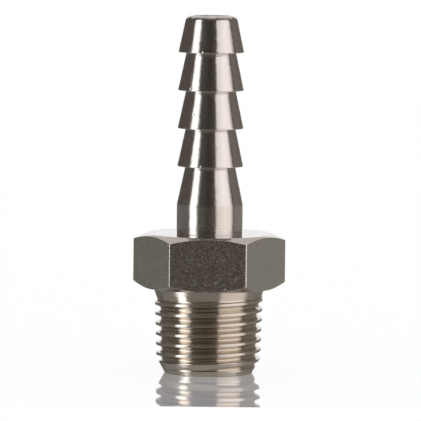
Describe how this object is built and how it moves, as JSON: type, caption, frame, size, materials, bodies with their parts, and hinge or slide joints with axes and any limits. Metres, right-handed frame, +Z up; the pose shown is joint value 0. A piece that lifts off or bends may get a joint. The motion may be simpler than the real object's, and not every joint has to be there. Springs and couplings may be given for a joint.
{
  "type": "hose barb tail",
  "caption": "One-piece turned fitting that joins a push-on hose to a taper-threaded port: barbed stem, hexagon for a spanner, male taper thread and a straight waterway.",
  "frame": {"origin": "centre of the threaded end face, which the part stands on", "axes": "+Z up the axis from the threaded end to the barbed tip; two of the hexagon's flats face -Y and +Y"},
  "size_m": [0.0138, 0.012, 0.0322],
  "materials": {
    "nickel_plated_brass": "bright nickel plate over turned brass"
  },
  "bodies": {
    "root": {"hose_barb_tail": "nickel_plated_brass"}
  },
  "joints": []
}
